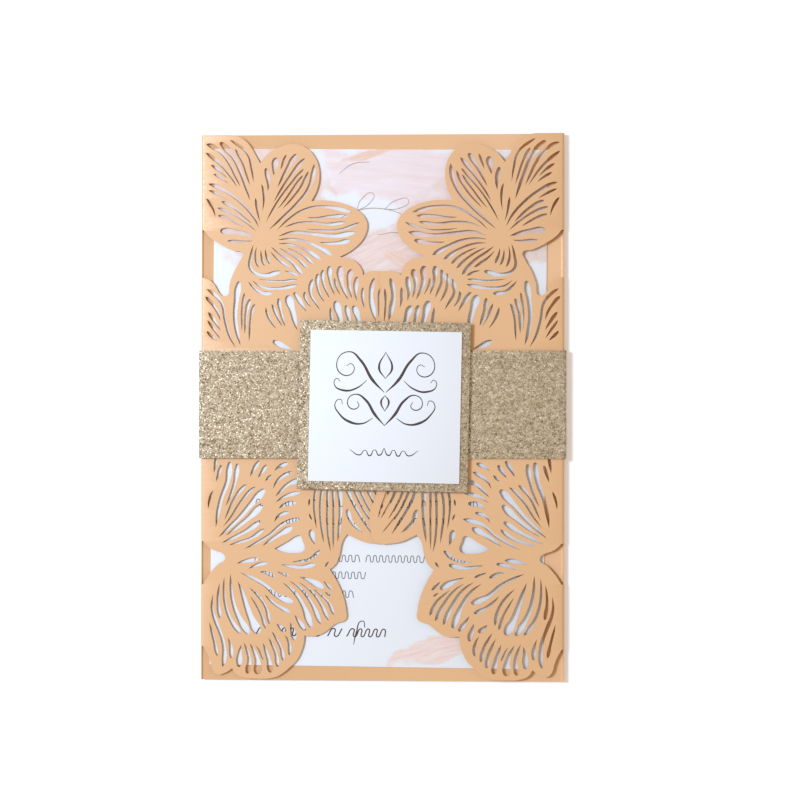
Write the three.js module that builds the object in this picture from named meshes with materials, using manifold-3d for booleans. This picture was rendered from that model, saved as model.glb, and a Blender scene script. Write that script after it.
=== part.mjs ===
// Wedding invitation with laser-cut gates, a printed insert, a glitter belly band and a tag.
// Millimetres. +X to the right of the invitation, +Y to its top, +Z out of its front.
import * as THREE from 'three';
import { mergeVertices } from 'three/addons/utils/BufferGeometryUtils.js';
import Module from 'manifold-3d';

const wasm = await Module();
wasm.setup();

// Sizes of the sleeve: one folded sheet.
const SLEEVE_WIDTH = 123;
const SLEEVE_HEIGHT = 185;
const SLEEVE_CARD = 0.3;

// The lace of a gate is drawn for a sleeve of this width and stretched to the real one.
const DRAWN_WIDTH = 123;
const SLIT_OPENING = 1.3;

// How far the uncut gate runs past its cut edge, and how far a cut runs past the card.
const TRIM = 0.8;
const PAST_EDGE = 4;

// Sizes of the insert and where it lies in the sleeve.
const INSERT_WIDTH = 113;
const INSERT_HEIGHT = 175.3;
const INSERT_CARD = 0.35;
const INSERT_SHIFT_X = -1.3;
const INSERT_SHIFT_Y = -0.2;
const INSERT_TURN = -0.5;

// Sizes of the band.
const BAND_WIDTH = 36.5;
const BAND_CARD = 0.3;
const BAND_SHIFT_Y = 0.9;
const BAND_LAP = 24;
const BAND_STEP = 8;
const BAND_CORNER = 0.8;

// Sizes of the tag and its mat, each turned a little as it was stuck down.
const MAT_WIDTH = 57.5;
const MAT_HEIGHT = 57;
const MAT_CARD = 0.4;
const MAT_SHIFT_X = 0.7;
const MAT_SHIFT_Y = 0.4;
const MAT_TURN = -1.2;
const TAG_WIDTH = 51;
const TAG_HEIGHT = 51;
const TAG_CARD = 0.35;
const TAG_SHIFT_X = 1.1;
const TAG_SHIFT_Y = 0.2;
const TAG_TURN = -1.05;

// Sizes of the tapes and pads.
const TAPE = 0.15;
const PAD = 0.8;
const PAD_WIDTH = 10;
const TAPE_MARGIN = 4;
const TAPE_WIDTH = 10;

// Clearances.
const SLIDE_GAP = 0.3;
const BAND_SIDE_GAP = 0.4;
const AIR_OVER_INSERT = 0.55;
const GATE_LAP_GAP = 0.2;

// Heights, from the face it rests on upward.
const BAND_INNER_Z = BAND_CARD + TAPE;
const SLEEVE_Z = BAND_INNER_Z + BAND_CARD + SLIDE_GAP;
const INSERT_Z = SLEEVE_Z + SLEEVE_CARD;
const LEFT_GATE_Z = INSERT_Z + INSERT_CARD + AIR_OVER_INSERT;
const RIGHT_GATE_Z = LEFT_GATE_Z + SLEEVE_CARD + GATE_LAP_GAP;
const BAND_FRONT_Z = RIGHT_GATE_Z + SLEEVE_CARD + SLIDE_GAP;
const PAD_Z = BAND_FRONT_Z + BAND_CARD;
const MAT_Z = PAD_Z + PAD;
const TAG_TAPE_Z = MAT_Z + MAT_CARD;
const TAG_Z = TAG_TAPE_Z + TAPE;

// Colours and finishes.
const PEARL_GOLD = { color: 0xe3b883, roughness: 0.42, metalness: 0.25 };
const WHITE_CARD = { color: 0xf1f3f6, roughness: 0.7, metalness: 0 };
const GLITTER = { color: 0xb8a685, roughness: 0.45, metalness: 0.6 };
const TAPE_LOOK = { color: 0xe9e6dc, roughness: 0.6, metalness: 0 };
const FOAM_LOOK = { color: 0xf4f4f0, roughness: 0.9, metalness: 0 };

// Edge of a gate, from the foot of its fold round the free side to its head.
// x is counted from the fold inward, y from the bottom edge upward.
const FOOT_SCALLOPS = [
  [0, 12.8], [1.3, 10.4], [2.5, 8.2], [3.4, 5.8], [4.0, 3.6], [5.6, 1.9], [8.2, 2.4], [10.7, 4.0],
  [12.0, 2.1], [14.2, 1.0], [19.5, 0.5], [25.2, 1.0], [28.0, 2.5], [30.4, 4.5], [32.8, 7.0],
  [34.3, 10.0], [35.1, 12.9], [35.3, 15.2],
];
const FOOT_LEAF = [
  [38.3, 15.0], [41.2, 15.8], [43.6, 17.6], [45.8, 19.2], [49.3, 20.8], [49.4, 24.2], [48.6, 28.0],
  [47.4, 31.3], [45.8, 34.5], [43.9, 37.6],
];
const MIDDLE_FOOT = [
  [45.8, 39.3], [46.9, 41.6], [47.6, 44.6], [48.3, 47.4], [49.7, 49.5], [52.2, 48.3], [55.0, 47.1],
  [58.2, 46.5], [62.0, 46.4], [64.3, 47.6],
];
const MEETING_EDGE = [
  [65.3, 50.6], [65.7, 54.0], [65.3, 58.0], [63.8, 61.6], [62.9, 66.0], [63.4, 80.0], [62.6, 94.0],
  [63.2, 108.0], [62.5, 123.0], [62.0, 131.0], [61.6, 132.6], [62.4, 135.0], [61.7, 138.5],
];
const MIDDLE_HEAD = [
  [57.9, 138.6], [56.2, 138.1], [55.0, 137.2], [54.7, 138.9], [53.2, 141.2], [50.6, 142.9], [47.1, 143.4],
];
const WIDE_PETAL = [
  [50.8, 145.4], [54.3, 148.5], [56.0, 151.4], [56.5, 153.9], [55.9, 156.3], [54.0, 158.6], [51.0, 160.5],
  [47.0, 161.9], [42.2, 162.6], [37.5, 162.4],
];
const HEAD_PETAL = [
  [39.3, 166.0], [40.2, 170.4], [39.8, 174.6], [38.6, 177.4], [35.8, 180.4], [31.2, 181.8], [27.0, 180.8],
  [22.8, 178.6], [20.0, 175.3], [18.5, 178.0], [16.6, 181.2], [15.0, 183.0], [12.6, 184.4], [9.6, 185.0],
];

// The drawing is as tall as the place where the edge meets the head of the sleeve, and as wide as
// the furthest point of the free side.
const [HEAD_MEETS_X, DRAWN_HEIGHT] = HEAD_PETAL.at(-1);
const GATE_REACH = Math.max(...MEETING_EDGE.map(([x]) => x)) + TRIM;

// Openings that reach the fold, and the wide opening between the lower flowers.
const FOLD_OPENINGS = [
  [
    [-3, 153.1], [0.5, 152.9], [2.6, 150.4], [5.2, 148.5], [8.2, 146.8], [11.0, 145.6], [14.0, 144.8],
    [13.2, 142.2], [11.2, 138.6], [9.7, 134.6], [8.4, 130.2], [6.3, 132.3], [3.2, 135.5], [0, 136.7],
    [-3, 136.7],
  ],
  [
    [-3, 48.4], [0, 48.2], [1.0, 46.6], [3.2, 44.6], [8.3, 41.4], [5.6, 39.0], [3.6, 36.8], [1.9, 34.4],
    [0, 31.2], [-3, 31.0],
  ],
];
const LOWER_WINDOW = [
  [25.0, 44.6], [28.0, 43.4], [31.5, 43.1], [34.6, 43.6], [35.3, 44.6], [34.6, 47.2], [33.8, 49.0],
  [32.6, 49.0], [29.4, 47.1],
];

// Veins cut through the gates: width at the outer end, width at the inner end, then points
// along the vein.
const HEAD_LEFT_PETAL = [
  [0.6, 0.5, 9.6, 183.3, 13.8, 180.6, 16.3, 177, 17.8, 168.6],
  [1.5, 0.5, 6.3, 182.4, 10.2, 178.6, 13.6, 171.6, 16.6, 162.6],
  [1.1, 0.5, 1.6, 181.9, 5.2, 180.3, 8.9, 176.3, 13.2, 167.4],
  [0.8, 0.4, 1.4, 179, 5.4, 176, 9.2, 171.8, 12.2, 167.2],
  [0.7, 0.4, 3.2, 174.8, 5.9, 173.1, 8.6, 170.4],
  [0.6, 0.4, 4.1, 171.8, 7, 170.2, 9.2, 168.4],
  [0.7, 0.4, 11.4, 180.2, 13.6, 176.6, 16.6, 167.6],
];
const LEFT_PETAL = [
  [0.9, 0.5, 2.3, 168.4, 6.5, 166.9, 12.5, 162.8, 17.4, 157.6, 19.7, 153.4],
  [0.6, 0.4, 2.4, 166.2, 5, 165.2, 9, 162.9],
  [0.8, 0.5, 6.8, 162.4, 10.5, 160.7, 14, 157.9, 17, 154.9],
  [0.7, 0.5, 5.4, 160.2, 9.6, 158.8, 14, 156.2, 18.7, 152.2],
  [0.7, 0.4, 5.8, 157.6, 9.6, 156.4, 14.4, 153.6],
  [0.7, 0.4, 1.6, 163.4, 3.6, 160.9, 4.8, 157],
  [1.6, 0.8, 6.4, 152.4, 12, 151.9, 18.4, 150.4],
  [0.8, 0.4, 8.8, 149, 13.4, 148.6, 17.6, 149],
  [0.6, 0.3, 18.4, 163.6, 19.2, 158.4, 20.1, 155.2],
  [0.6, 0.3, 20.4, 168.2, 21.4, 164.5, 20.8, 159],
  [1.2, 0.6, 21.9, 173.6, 22.8, 169.4, 22.6, 165.8],
];
const UPPER_PETAL = [
  [1.9, 0.8, 25.6, 177.2, 25, 174.4, 24.6, 171.2],
  [0.6, 0.4, 28.9, 178.2, 27.7, 175.4, 27, 172.9],
  [1.3, 0.4, 32.4, 178.3, 30.5, 175.6, 28.2, 171.6, 25.9, 167],
  [1, 0.4, 35.2, 177, 32.2, 173.4, 28.3, 168.2, 24.6, 162],
  [0.6, 0.3, 34.9, 173.4, 31.5, 169.6, 27.2, 164.2, 23.9, 158.9, 22, 155.2],
  [0.6, 0.3, 34.6, 171.2, 32.2, 168, 29, 163.4, 25.8, 159.6],
  [0.7, 0.4, 36.4, 172.6, 34.9, 168.8, 31.4, 163.9, 27.6, 159.8],
  [1.1, 0.5, 38.3, 175, 37.9, 170.6, 35.3, 164.7, 29.3, 158.4, 23, 152.7],
];
const RIGHT_PETAL = [
  [0.9, 0.4, 51.4, 158.4, 44, 160.3, 36, 159.8, 30.6, 157, 25.7, 152.4],
  [0.8, 0.5, 50, 157.2, 44.6, 157.3, 40.6, 156.6, 36, 156.8],
  [0.8, 0.4, 49.2, 155.3, 44, 154.5, 36, 155.2, 30.8, 154.5, 28, 153.4],
  [0.6, 0.3, 53.8, 155.2, 48.6, 152.9, 42, 152.4, 35.6, 153],
  [1.2, 0.6, 52.8, 151.8, 45.8, 150.6, 38.6, 151.2, 31.6, 151.9, 26, 150.4],
  [1.1, 0.5, 50.6, 149, 45, 148, 40.2, 148.4],
  [1, 0.5, 44.6, 143.9, 39.6, 146.8, 33, 149.3, 26, 149.3],
  [0.9, 0.4, 40.8, 142.4, 36, 145.6, 31, 147.6, 26, 148],
  [0.7, 0.4, 38.2, 140.9, 34.4, 144.2, 29.2, 146.5],
  [0.7, 0.4, 36.4, 139.4, 31.8, 143.6, 26.4, 146.5],
  [0.9, 0.5, 34.6, 137.2, 30.6, 141.9, 26.4, 144.8, 23.6, 147],
  [0.7, 0.4, 30.6, 139.7, 26.4, 142.4, 23.4, 145.4],
  [0.6, 0.4, 32.9, 136.9, 30.8, 138.1, 28.3, 138.7],
];
const LOWER_PETAL = [
  [1.1, 0.5, 27, 138.5, 20.6, 137.3, 16.5, 140.2, 17.8, 147.8],
  [0.6, 0.3, 19.7, 139.8, 18.3, 142.8, 18.9, 147],
  [0.6, 0.3, 21.7, 140.4, 20.6, 142.6, 20.3, 146],
  [0.7, 0.3, 23.4, 141, 22.1, 144, 21.8, 146.3],
  [0.8, 0.5, 33, 134, 27.4, 132.9, 21, 133.2, 17.2, 135.6],
  [0.9, 0.5, 24, 130.9, 19.6, 131.7, 15.9, 135.2],
  [0.5, 0.4, 32.8, 135.8, 26, 135.2, 19.4, 135.9],
];
const MIDDLE_HEAD_FAN = [
  [1.1, 0.4, 38, 135.8, 36.9, 132.2, 38.4, 128.8, 40.4, 125.4],
  [1, 0.4, 39.7, 137.7, 39.4, 134.2, 40.6, 130.4, 42, 128],
  [1, 0.4, 41.5, 139, 41.2, 135.6, 43.6, 129.4],
  [1.3, 0.4, 43.6, 140.3, 43.8, 135.6, 45.4, 130.4],
  [0.6, 0.3, 45.4, 136.4, 45.7, 133.8, 47.4, 130.4],
  [1.9, 0.5, 47.4, 140.3, 47.6, 135, 50, 128.8],
  [1.6, 0.5, 51.1, 139.2, 50.2, 134.8, 51.2, 129.4],
  [1.4, 0.5, 53.1, 136.7, 52.4, 132.6, 52.9, 128.4],
  [0.8, 0.5, 55, 133.2, 54.8, 129.8, 55.5, 126],
  [0.9, 1.5, 58.9, 136.4, 57.9, 133, 57.8, 129, 59.3, 121.6],
  [0.5, 0.4, 60.6, 132.8, 60.3, 128, 60.8, 121],
];
const MIDDLE_HEAD_INNER = [
  [0.9, 0.6, 26.3, 129.4, 27, 125, 28.6, 119.8],
  [2, 0.9, 29.3, 130.4, 30.8, 126, 32.6, 118.6],
  [1.1, 0.5, 31.5, 131.4, 34.1, 127.8, 35.8, 124.8],
  [0.8, 0.4, 35.4, 131.8, 35.2, 129.4, 37.4, 126.4],
  [0.7, 0.5, 24, 127.6, 25.6, 123.8, 27.6, 119.8],
  [0.6, 0.4, 22, 126.4, 22.8, 123, 25.6, 119],
  [0.7, 0.5, 43.9, 126.4, 44.2, 123.6, 45.2, 117],
  [1.8, 0.8, 45.6, 128.5, 46.8, 124.6, 48.6, 116],
  [1.2, 0.6, 49.2, 127, 50, 123.8, 51.2, 116],
  [1.6, 0.7, 51.6, 126.8, 53.1, 123.6, 54.2, 116.4],
];
const FOLD_LEAF = [
  [1.5, 0.8, 12.9, 135.2, 12, 129.4, 11.6, 121.4, 13.4, 113.4],
  [0.6, 0.4, 14.8, 131.4, 13.9, 126, 13.9, 118.2],
  [0.9, 0.5, 16.7, 129.2, 15.4, 125.4, 14.8, 117.4],
  [0.7, 0.4, 18.4, 127.6, 17, 124.4, 16.3, 114.8],
  [1.4, 0.7, 24.4, 115, 27.2, 113.6, 31, 112.1],
  [0.8, 0.5, 1.8, 132.6, 4.8, 130.5, 7.4, 126.6, 8.6, 119, 11.8, 112.6],
  [0.9, 0.5, 1.4, 130, 3.7, 127.6, 5.7, 124.4, 6.5, 121.8],
  [0.9, 0.5, 2.3, 124.8, 4.4, 122, 6.6, 118.4],
  [0.7, 0.4, 2.1, 122, 4, 119.4, 6.5, 115.6],
  [0.7, 0.4, 2, 118.2, 3.6, 116.4, 5.4, 115],
];
const UNDER_BAND = [
  [0.8, 0.4, 4, 106, 9.6, 101, 15.4, 90, 17, 80],
  [1, 0.4, 38, 108, 34, 101, 26, 90, 21.5, 80],
];
const MIDDLE_FOOT_LEFT = [
  [1.4, 0.8, 9.9, 74, 8.9, 66.8, 6.4, 60, 5.1, 51.8],
  [0.5, 0.5, 4.1, 64.2, 2.9, 61.4, 2.5, 58],
  [0.7, 0.5, 5.3, 76, 4.4, 70.2],
  [0.8, 0.5, 6.9, 72.9, 5.1, 67.2],
  [1.2, 0.5, 12.4, 73.4, 11.8, 68.4, 10.2, 63, 8.4, 58.8],
  [0.8, 0.4, 15.6, 66.4, 12.7, 63.8, 10.6, 60, 8, 54.2],
  [0.7, 0.4, 18.7, 65.6, 14.9, 62.7, 11.8, 57.4, 7.4, 51.8],
  [1.8, 0.6, 21.7, 64.7, 17.7, 60.4, 13.2, 55.2, 6, 48.4],
  [1.7, 0.6, 20.9, 59.6, 16.6, 55.3, 8.4, 48.9],
  [1.2, 0.6, 20.4, 53.9, 14.6, 50.1, 7, 46.4],
  [0.9, 0.6, 21.6, 51.4, 17, 48.1, 9.4, 45.7],
  [1, 0.5, 34.2, 54.8, 28.2, 53.2, 22.4, 48.6, 14.8, 44.4],
  [0.9, 0.5, 30, 56.9, 26.8, 56.1, 25, 53.6],
  [1.5, 0.6, 31.1, 51.8, 26.6, 49.4, 21, 45.6],
  [1, 0.5, 34, 63.6, 29.4, 62.8, 25.4, 60.2],
  [1.3, 0.5, 34, 67.8, 29.6, 66.4, 25.3, 62.2],
  [0.9, 0.5, 31, 70.8, 26.6, 68.4, 24.5, 64.8],
  [1.2, 0.7, 32.4, 60, 29.2, 59.8, 26.4, 58.2],
  [1, 0.6, 29.6, 73.6, 26.7, 72.4, 25, 71],
  [0.9, 0.5, 24, 69.7, 21.8, 67.4],
  [1, 0.6, 22.4, 73, 19.4, 68.6],
  [1, 0.6, 19.9, 74.4, 18, 71.6, 16.7, 69],
];
const MIDDLE_FOOT_RIGHT = [
  [0.7, 0.5, 39.9, 68, 38.5, 60.2, 39.4, 51.2],
  [0.7, 0.5, 41.7, 67, 40.5, 58, 41.8, 46.4],
  [0.7, 0.5, 43.3, 67, 43, 57, 43.2, 50, 44.2, 43.5],
  [0.7, 0.4, 45, 67, 45.1, 56, 45, 44.4],
  [1.3, 0.6, 46.9, 67, 47.5, 57.6, 46.5, 46.8],
  [1.5, 0.8, 37.4, 51.1, 37.9, 48.6, 38.8, 46],
  [0.6, 0.4, 37, 61.6, 36.7, 59],
  [0.6, 0.4, 36.8, 56.6, 37.8, 54.2],
  [1, 0.5, 49, 67, 52, 59.6, 58.2, 49.6],
  [0.7, 0.4, 51.2, 67, 55.4, 57.6, 61.6, 49.9],
  [0.7, 0.4, 53.3, 67, 56.1, 60, 59.5, 54.6],
  [0.8, 0.4, 55.8, 67, 58.4, 60.8, 62, 54.8],
  [1.1, 0.6, 49.7, 58, 51.4, 53.4, 55, 50.2],
  [0.8, 0.4, 58.4, 66, 61, 60.6, 62.8, 55],
];
const FOOT_HEAD = [
  [1, 0.7, 20.2, 40.9, 16.4, 40.7, 12.2, 39.5],
  [0.9, 0.6, 22.8, 39.7, 19.4, 39.2, 16.2, 37.7],
  [0.8, 0.6, 25.2, 35, 22.8, 36.3, 20, 36.7],
  [1.5, 0.5, 31.4, 26.5, 26.4, 28.4, 20.4, 33.2, 13.4, 36.4],
  [0.9, 0.5, 30.4, 23, 25.2, 25.8, 21.8, 29],
  [0.8, 0.5, 23.3, 18.9, 22.6, 23.6, 20, 28, 16.5, 31.4],
  [0.7, 0.4, 22.1, 17.4, 20.2, 23, 16.8, 28.5],
  [2.3, 0.5, 19.8, 15.8, 17, 21.2, 14.6, 28.2, 12.6, 33.5],
  [1.7, 0.5, 16.4, 15.6, 12.6, 22, 10.6, 28.4, 10.1, 36],
  [1.1, 0.4, 13.7, 15.6, 9.9, 21, 7.9, 28, 8, 35],
  [0.9, 0.5, 6.6, 21, 5.8, 27, 6.4, 32.8],
  [1.1, 0.6, 7.4, 4.4, 8.2, 10, 5.8, 18.4, 3.8, 24.4, 4.1, 29],
  [0.8, 0.5, 5.7, 8, 4.6, 13, 2.9, 19.6],
];
const FOOT_FAN = [
  [1.1, 0.5, 10.4, 7.4, 10.3, 11, 9.2, 14.4],
  [1.5, 0.8, 13.1, 4.4, 13.2, 8.6, 13.8, 12],
  [1.4, 0.4, 15.9, 2.2, 16.5, 7.6, 14.6, 12.8],
  [2.1, 0.4, 19.4, 2, 19.1, 7.6, 16.7, 12.4],
  [0.5, 0.3, 21.3, 6.8, 20.2, 9.6, 18.7, 11.8],
  [1.4, 0.6, 23.8, 2.6, 23, 7.4, 21.2, 12.6],
  [1, 0.5, 26.2, 4.6, 25.4, 9.6, 23, 14.5],
  [0.9, 0.5, 28.1, 6.7, 27.2, 11.2, 24.2, 16.6],
  [0.9, 0.5, 30, 8.4, 30.4, 11.8, 28.6, 15.4],
  [1.4, 0.8, 31.9, 13.6, 31.4, 16.4, 30.4, 19.6],
  [1.2, 0.7, 29, 16.7, 27.4, 17.7, 25.9, 19.2],
  [1.2, 0.6, 35.6, 17, 33.6, 19.6, 31.9, 22.2],
];
const FOOT_LEAF_VEINS = [
  [1.6, 0.5, 37.6, 18, 35.3, 24, 33, 28.8, 27.8, 33.1],
  [1.1, 0.5, 40.8, 19, 38.4, 24.6, 35.4, 29.8, 30.2, 33.7],
  [0.9, 0.4, 43.5, 20.3, 41, 25.6, 37.4, 30.4, 33.4, 33.2],
  [0.8, 0.4, 45.3, 22.2, 43, 27, 38.2, 31],
  [1.7, 0.6, 41.8, 31.1, 38.6, 33.2, 33.6, 35.1],
  [0.6, 0.4, 44.3, 28.6, 42.2, 30],
  [0.7, 0.4, 44.6, 30.8, 41.6, 33.8],
  [1.1, 0.6, 38.9, 39.4, 33.6, 38.3, 27.2, 39.2],
  [0.6, 0.4, 30.2, 35.2, 26, 36.8],
  [0.8, 0.5, 40.6, 44.1, 36.6, 40.9, 31, 40.1],
  [0.7, 0.5, 43.5, 40.3, 42.2, 38.4],
];
const VEINS = [
  HEAD_LEFT_PETAL, LEFT_PETAL, UPPER_PETAL, RIGHT_PETAL, LOWER_PETAL, MIDDLE_HEAD_FAN,
  MIDDLE_HEAD_INNER, FOLD_LEAF, UNDER_BAND, MIDDLE_FOOT_LEFT, MIDDLE_FOOT_RIGHT, FOOT_HEAD, FOOT_FAN,
  FOOT_LEAF_VEINS,
].flat();

// Places along a vein, from its outer end, where its two sides get a point.
const STATIONS = {
  tiny: [0.4],
  short: [0.16, 0.66],
  long: [0.09, 0.42, 0.76],
  full: [0.07, 0.3, 0.56, 0.82],
};

// Turns one vein into the closed outline of its slit.
function slitOutline([outer, inner, ...flat]) {
  const points = [];
  for (let i = 0; i < flat.length; i += 2) {
    points.push(new THREE.Vector2(flat[i], flat[i + 1]));
  }
  const run = new THREE.SplineCurve(points);
  const length = run.getLength();
  let places = STATIONS.full;
  if (length < 19) places = STATIONS.long;
  if (length < 9.5) places = STATIONS.short;
  if (length < 3.2) places = STATIONS.tiny;
  const right = [];
  const left = [];
  for (const place of places) {
    const point = run.getPointAt(place);
    const along = run.getTangentAt(place);
    const width = SLIT_OPENING * (outer + (inner - outer) * place);
    const side = new THREE.Vector2(along.y, -along.x).multiplyScalar(width / 2);
    right.push(point.clone().add(side));
    left.unshift(point.clone().sub(side));
  }
  const outline = [run.getPointAt(0), ...right, run.getPointAt(1), ...left];
  return outline.map((point) => [point.x, point.y]);
}

// All that is cut away from a gate: outside of its edge, the openings and the slits.
function gateCuts() {
  const edge = [
    ...FOOT_SCALLOPS, ...FOOT_LEAF, ...MIDDLE_FOOT, ...MEETING_EDGE, ...MIDDLE_HEAD, ...WIDE_PETAL,
    ...HEAD_PETAL,
  ];
  const far = GATE_REACH + PAST_EDGE;
  const [, footY] = FOOT_SCALLOPS[0];
  const outside = [
    ...edge, [HEAD_MEETS_X, DRAWN_HEIGHT + PAST_EDGE], [far, DRAWN_HEIGHT + PAST_EDGE], [far, -PAST_EDGE],
    [-PAST_EDGE, -PAST_EDGE], [-PAST_EDGE, footY],
  ];
  return [outside, ...FOLD_OPENINGS, LOWER_WINDOW, ...VEINS.map(slitOutline)];
}

function clean(geometry) {
  const bare = geometry.clone();
  bare.deleteAttribute('normal');
  bare.deleteAttribute('uv');
  return mergeVertices(bare, 1e-4);
}

function toSolid(geometry) {
  const bare = clean(geometry);
  const mesh = new wasm.Mesh({
    numProp: 3,
    vertProperties: new Float32Array(bare.attributes.position.array),
    triVerts: new Uint32Array(bare.index.array),
  });
  return new wasm.Manifold(mesh);
}

function toGeometry(solid) {
  const mesh = solid.getMesh();
  const geometry = new THREE.BufferGeometry();
  geometry.setAttribute('position', new THREE.BufferAttribute(new Float32Array(mesh.vertProperties), 3));
  geometry.setIndex(new THREE.BufferAttribute(new Uint32Array(mesh.triVerts), 1));
  const flat = geometry.toNonIndexed();
  flat.computeVertexNormals();
  return flat;
}

function outlineShape(points) {
  const flat = points.map(([x, y]) => new THREE.Vector2(x, y));
  if (THREE.ShapeUtils.isClockWise(flat)) flat.reverse();
  return new THREE.Shape(flat);
}

// The cutters of one gate, standing in the part's own frame.
function gateCutter(side, bottom, top) {
  const scaleX = SLEEVE_WIDTH / DRAWN_WIDTH;
  const scaleY = SLEEVE_HEIGHT / DRAWN_HEIGHT;
  const shapes = gateCuts().map((outline) => {
    const placed = outline.map(([x, y]) => [
      side * (x * scaleX - SLEEVE_WIDTH / 2),
      y * scaleY - SLEEVE_HEIGHT / 2,
    ]);
    return outlineShape(placed);
  });
  const geometry = new THREE.ExtrudeGeometry(shapes, { depth: top - bottom, bevelEnabled: false });
  geometry.translate(0, 0, bottom);
  return toSolid(geometry);
}

// Points of an arc, without its first point.
function arc(centreX, centreZ, radius, from, to, steps) {
  const points = [];
  for (let i = 1; i <= steps; i += 1) {
    const angle = THREE.MathUtils.degToRad(from + ((to - from) * i) / steps);
    points.push([centreX + radius * Math.cos(angle), centreZ + radius * Math.sin(angle)]);
  }
  return points;
}

// A card of even thickness that follows a path in X and Z, with its width along Y.
function foldedCard(path, thickness, width) {
  const nodes = path.map(([x, z]) => new THREE.Vector2(x, z));
  const outer = [];
  const inner = [];
  nodes.forEach((node, i) => {
    const before = nodes[Math.max(i - 1, 0)];
    const after = nodes[Math.min(i + 1, nodes.length - 1)];
    const arriving = node.clone().sub(before).normalize();
    const leaving = after.clone().sub(node).normalize();
    if (i === 0) arriving.copy(leaving);
    if (i === nodes.length - 1) leaving.copy(arriving);
    const mean = arriving.clone().add(leaving).normalize();
    const normal = new THREE.Vector2(mean.y, -mean.x);
    const reach = thickness / 2 / mean.dot(arriving);
    outer.push(node.clone().addScaledVector(normal, reach));
    inner.unshift(node.clone().addScaledVector(normal, -reach));
  });
  const profile = outlineShape([...outer, ...inner].map((point) => [point.x, point.y]));
  const geometry = new THREE.ExtrudeGeometry(profile, { depth: width, bevelEnabled: false });
  geometry.rotateX(Math.PI / 2);
  geometry.translate(0, width / 2, 0);
  return geometry;
}

// The sleeve: left gate, left fold, back panel, right fold, right gate.
function buildSleeve() {
  const half = SLEEVE_WIDTH / 2;
  const middle = SLEEVE_CARD / 2;
  const reach = (GATE_REACH * SLEEVE_WIDTH) / DRAWN_WIDTH - half;
  const backZ = SLEEVE_Z + middle;
  const leftZ = LEFT_GATE_Z + middle;
  const rightZ = RIGHT_GATE_Z + middle;
  const leftRadius = (leftZ - backZ) / 2;
  const rightRadius = (rightZ - backZ) / 2;
  const leftBendX = -half + middle + leftRadius;
  const rightBendX = half - middle - rightRadius;
  const path = [
    [reach, leftZ],
    [leftBendX, leftZ],
    ...arc(leftBendX, backZ + leftRadius, leftRadius, 90, 270, 8),
    [rightBendX, backZ],
    ...arc(rightBendX, backZ + rightRadius, rightRadius, -90, 90, 8),
    [-reach, rightZ],
  ];
  const sheet = toSolid(foldedCard(path, SLEEVE_CARD, SLEEVE_HEIGHT));
  const between = LEFT_GATE_Z + SLEEVE_CARD + GATE_LAP_GAP / 2;
  const leftCut = gateCutter(1, backZ + leftRadius, between);
  const rightCutWindow = gateCutter(-1, backZ + rightRadius, RIGHT_GATE_Z + SLEEVE_CARD + 1);
  const overLeft = new THREE.BoxGeometry(SLEEVE_WIDTH / 2 + reach, SLEEVE_HEIGHT + 20, between);
  overLeft.translate((reach - SLEEVE_WIDTH / 2) / 2 - 0.01, 0, between / 2);
  const rightCut = rightCutWindow.subtract(toSolid(overLeft));
  return toGeometry(sheet.subtract(leftCut).subtract(rightCut));
}

// The band: inner end, step down, left side, front, right side, outer end.
function buildBand() {
  const middle = BAND_CARD / 2;
  const half = SLEEVE_WIDTH / 2 + BAND_SIDE_GAP + middle;
  const frontZ = BAND_FRONT_Z + middle;
  const outerZ = middle;
  const innerZ = BAND_INNER_Z + middle;
  const radius = BAND_CORNER;
  const path = [
    [BAND_LAP / 2, innerZ],
    [-BAND_LAP / 2, innerZ],
    [-BAND_LAP / 2 - BAND_STEP, outerZ],
    [-half + radius, outerZ],
    ...arc(-half + radius, outerZ + radius, radius, 270, 180, 4),
    [-half, frontZ - radius],
    ...arc(-half + radius, frontZ - radius, radius, 180, 90, 4),
    [half - radius, frontZ],
    ...arc(half - radius, frontZ - radius, radius, 90, 0, 4),
    [half, outerZ + radius],
    ...arc(half - radius, outerZ + radius, radius, 0, -90, 4),
    [-BAND_LAP / 2, outerZ],
  ];
  const geometry = foldedCard(path, BAND_CARD, BAND_WIDTH);
  geometry.translate(0, BAND_SHIFT_Y, 0);
  return geometry;
}

// A flat rectangle of card or tape.
function sheetOf(width, height, thickness, x, y, z, turn = 0) {
  const geometry = new THREE.BoxGeometry(width, height, thickness);
  geometry.translate(0, 0, thickness / 2);
  geometry.rotateZ(THREE.MathUtils.degToRad(turn));
  geometry.translate(x, y, z);
  return geometry;
}

function piece(name, geometry, look) {
  const mesh = new THREE.Mesh(geometry, new THREE.MeshStandardMaterial(look));
  mesh.name = name;
  return mesh;
}

const root = new THREE.Group();
root.name = 'wedding_invitation';

root.add(piece('laser_cut_sleeve', buildSleeve(), PEARL_GOLD));

root.add(piece(
  'insert_card',
  sheetOf(INSERT_WIDTH, INSERT_HEIGHT, INSERT_CARD, INSERT_SHIFT_X, INSERT_SHIFT_Y, INSERT_Z, INSERT_TURN),
  WHITE_CARD,
));

root.add(piece('belly_band', buildBand(), GLITTER));

root.add(piece(
  'band_seam_tape',
  sheetOf(BAND_LAP - 2 * TAPE_MARGIN, BAND_WIDTH - 2 * TAPE_MARGIN, TAPE, 0, BAND_SHIFT_Y, BAND_CARD),
  TAPE_LOOK,
));

const padHeight = Math.min(BAND_WIDTH, MAT_HEIGHT) - 2 * TAPE_MARGIN;
const padX = MAT_WIDTH / 4;
root.add(piece(
  'mat_foam_pad_left',
  sheetOf(PAD_WIDTH, padHeight, PAD, MAT_SHIFT_X - padX, BAND_SHIFT_Y, PAD_Z),
  FOAM_LOOK,
));
root.add(piece(
  'mat_foam_pad_right',
  sheetOf(PAD_WIDTH, padHeight, PAD, MAT_SHIFT_X + padX, BAND_SHIFT_Y, PAD_Z),
  FOAM_LOOK,
));

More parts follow.
